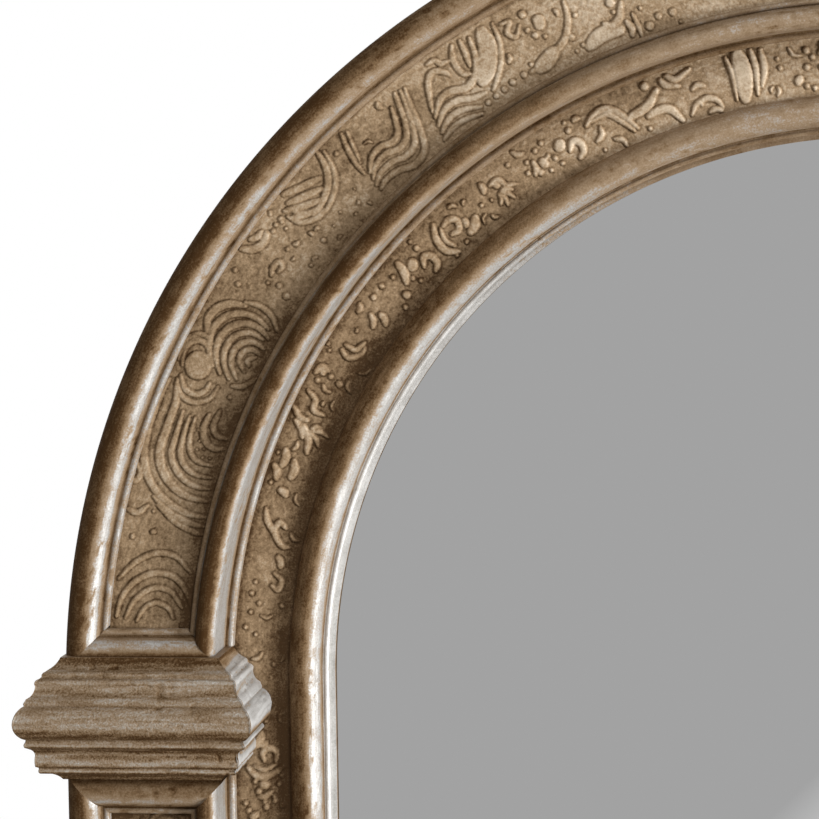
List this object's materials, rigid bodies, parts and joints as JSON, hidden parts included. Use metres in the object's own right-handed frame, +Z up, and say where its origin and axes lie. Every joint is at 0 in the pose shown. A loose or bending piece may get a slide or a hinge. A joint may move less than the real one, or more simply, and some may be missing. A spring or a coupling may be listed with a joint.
{
  "type": "embossed mirror",
  "caption": "Arched wall mirror with embossed friezes between rounded mouldings, moulded capitals on panelled pilasters, plinths and a sill, hung by swinging rings.",
  "frame": {"origin": "on the wall plane, midway between the two points where the hung rings rest on their hooks", "axes": "+X to the viewer's right, +Y into the wall, +Z up"},
  "size_m": [0.9838, 0.1069, 1.489],
  "materials": {
    "moulding": "waxed antique bronze over gesso",
    "embossed": "embossed gesso, dark glazed",
    "carcass": "bare planed softwood",
    "dowel": "bare beech",
    "backing": "hardboard",
    "mirror": "silvered glass",
    "steel": "zinc plated",
    "ring": "nickel plated wire",
    "bumper": "matte"
  },
  "bodies": {
    "frame": {"backing_board": "backing", "bottom_rail": "carcass", "capital_core_left": "moulding", "capital_core_right": "moulding", "capital_front_left": "moulding", "capital_front_right": "moulding", "capital_inner_return_left": "moulding", "capital_inner_return_right": "moulding", "capital_outer_return_left": "moulding", "capital_outer_return_right": "moulding", "clip_screws": "steel", "cross_roll_left": "moulding", "cross_roll_right": "moulding", "hanger_screws": "steel", "hanger_strap_left": "steel", "hanger_strap_right": "steel", "head_left": "carcass", "head_right": "carcass", "inner_frieze_arch": "embossed", "inner_frieze_bottom": "embossed", "inner_frieze_left": "embossed", "inner_frieze_right": "embossed", "joint_dowels": "dowel", "mid_roll_arch_left": "moulding", "mid_roll_arch_right": "moulding", "mirror_pane": "mirror", "outer_frieze_arch": "embossed", "outer_roll_arch_left": "moulding", "outer_roll_arch_right": "moulding", "pilaster_foot_roll_left": "moulding", "pilaster_foot_roll_right": "moulding", "pilaster_inner_roll_left": "moulding", "pilaster_inner_roll_right": "moulding", "pilaster_outer_roll_left": "moulding", "pilaster_outer_roll_right": "moulding", "pilaster_panel_left": "embossed", "pilaster_panel_right": "embossed", "pilaster_top_roll_left": "moulding", "pilaster_top_roll_right": "moulding", "plinth_core_left": "moulding", "plinth_core_right": "moulding", "plinth_front_left": "moulding", "plinth_front_right": "moulding", "plinth_inner_return_left": "moulding", "plinth_inner_return_right": "moulding", "plinth_outer_return_left": "moulding", "plinth_outer_return_right": "moulding", "retaining_clips": "steel", "sight_roll_arch": "moulding", "sight_roll_bottom": "moulding", "sight_roll_left": "moulding", "sight_roll_right": "moulding", "sill_foot_roll": "moulding", "sill_panel": "embossed", "sill_top_roll": "moulding", "stile_left": "carcass", "stile_right": "carcass", "wall_bumpers": "bumper"},
    "ring_left": {"hanger_ring_left": "ring"},
    "ring_right": {"hanger_ring_right": "ring"}
  },
  "joints": [
    {"name": "ring_left_swing", "type": "hinge", "parent": "frame", "child": "ring_left", "pos_m": [-0.3995, -0.0042, -0.024], "axis": [1, 0, 0], "range_deg": [0, 180]},
    {"name": "ring_right_swing", "type": "hinge", "parent": "frame", "child": "ring_right", "pos_m": [0.3995, -0.0042, -0.024], "axis": [1, 0, 0], "range_deg": [0, 180]}
  ]
}
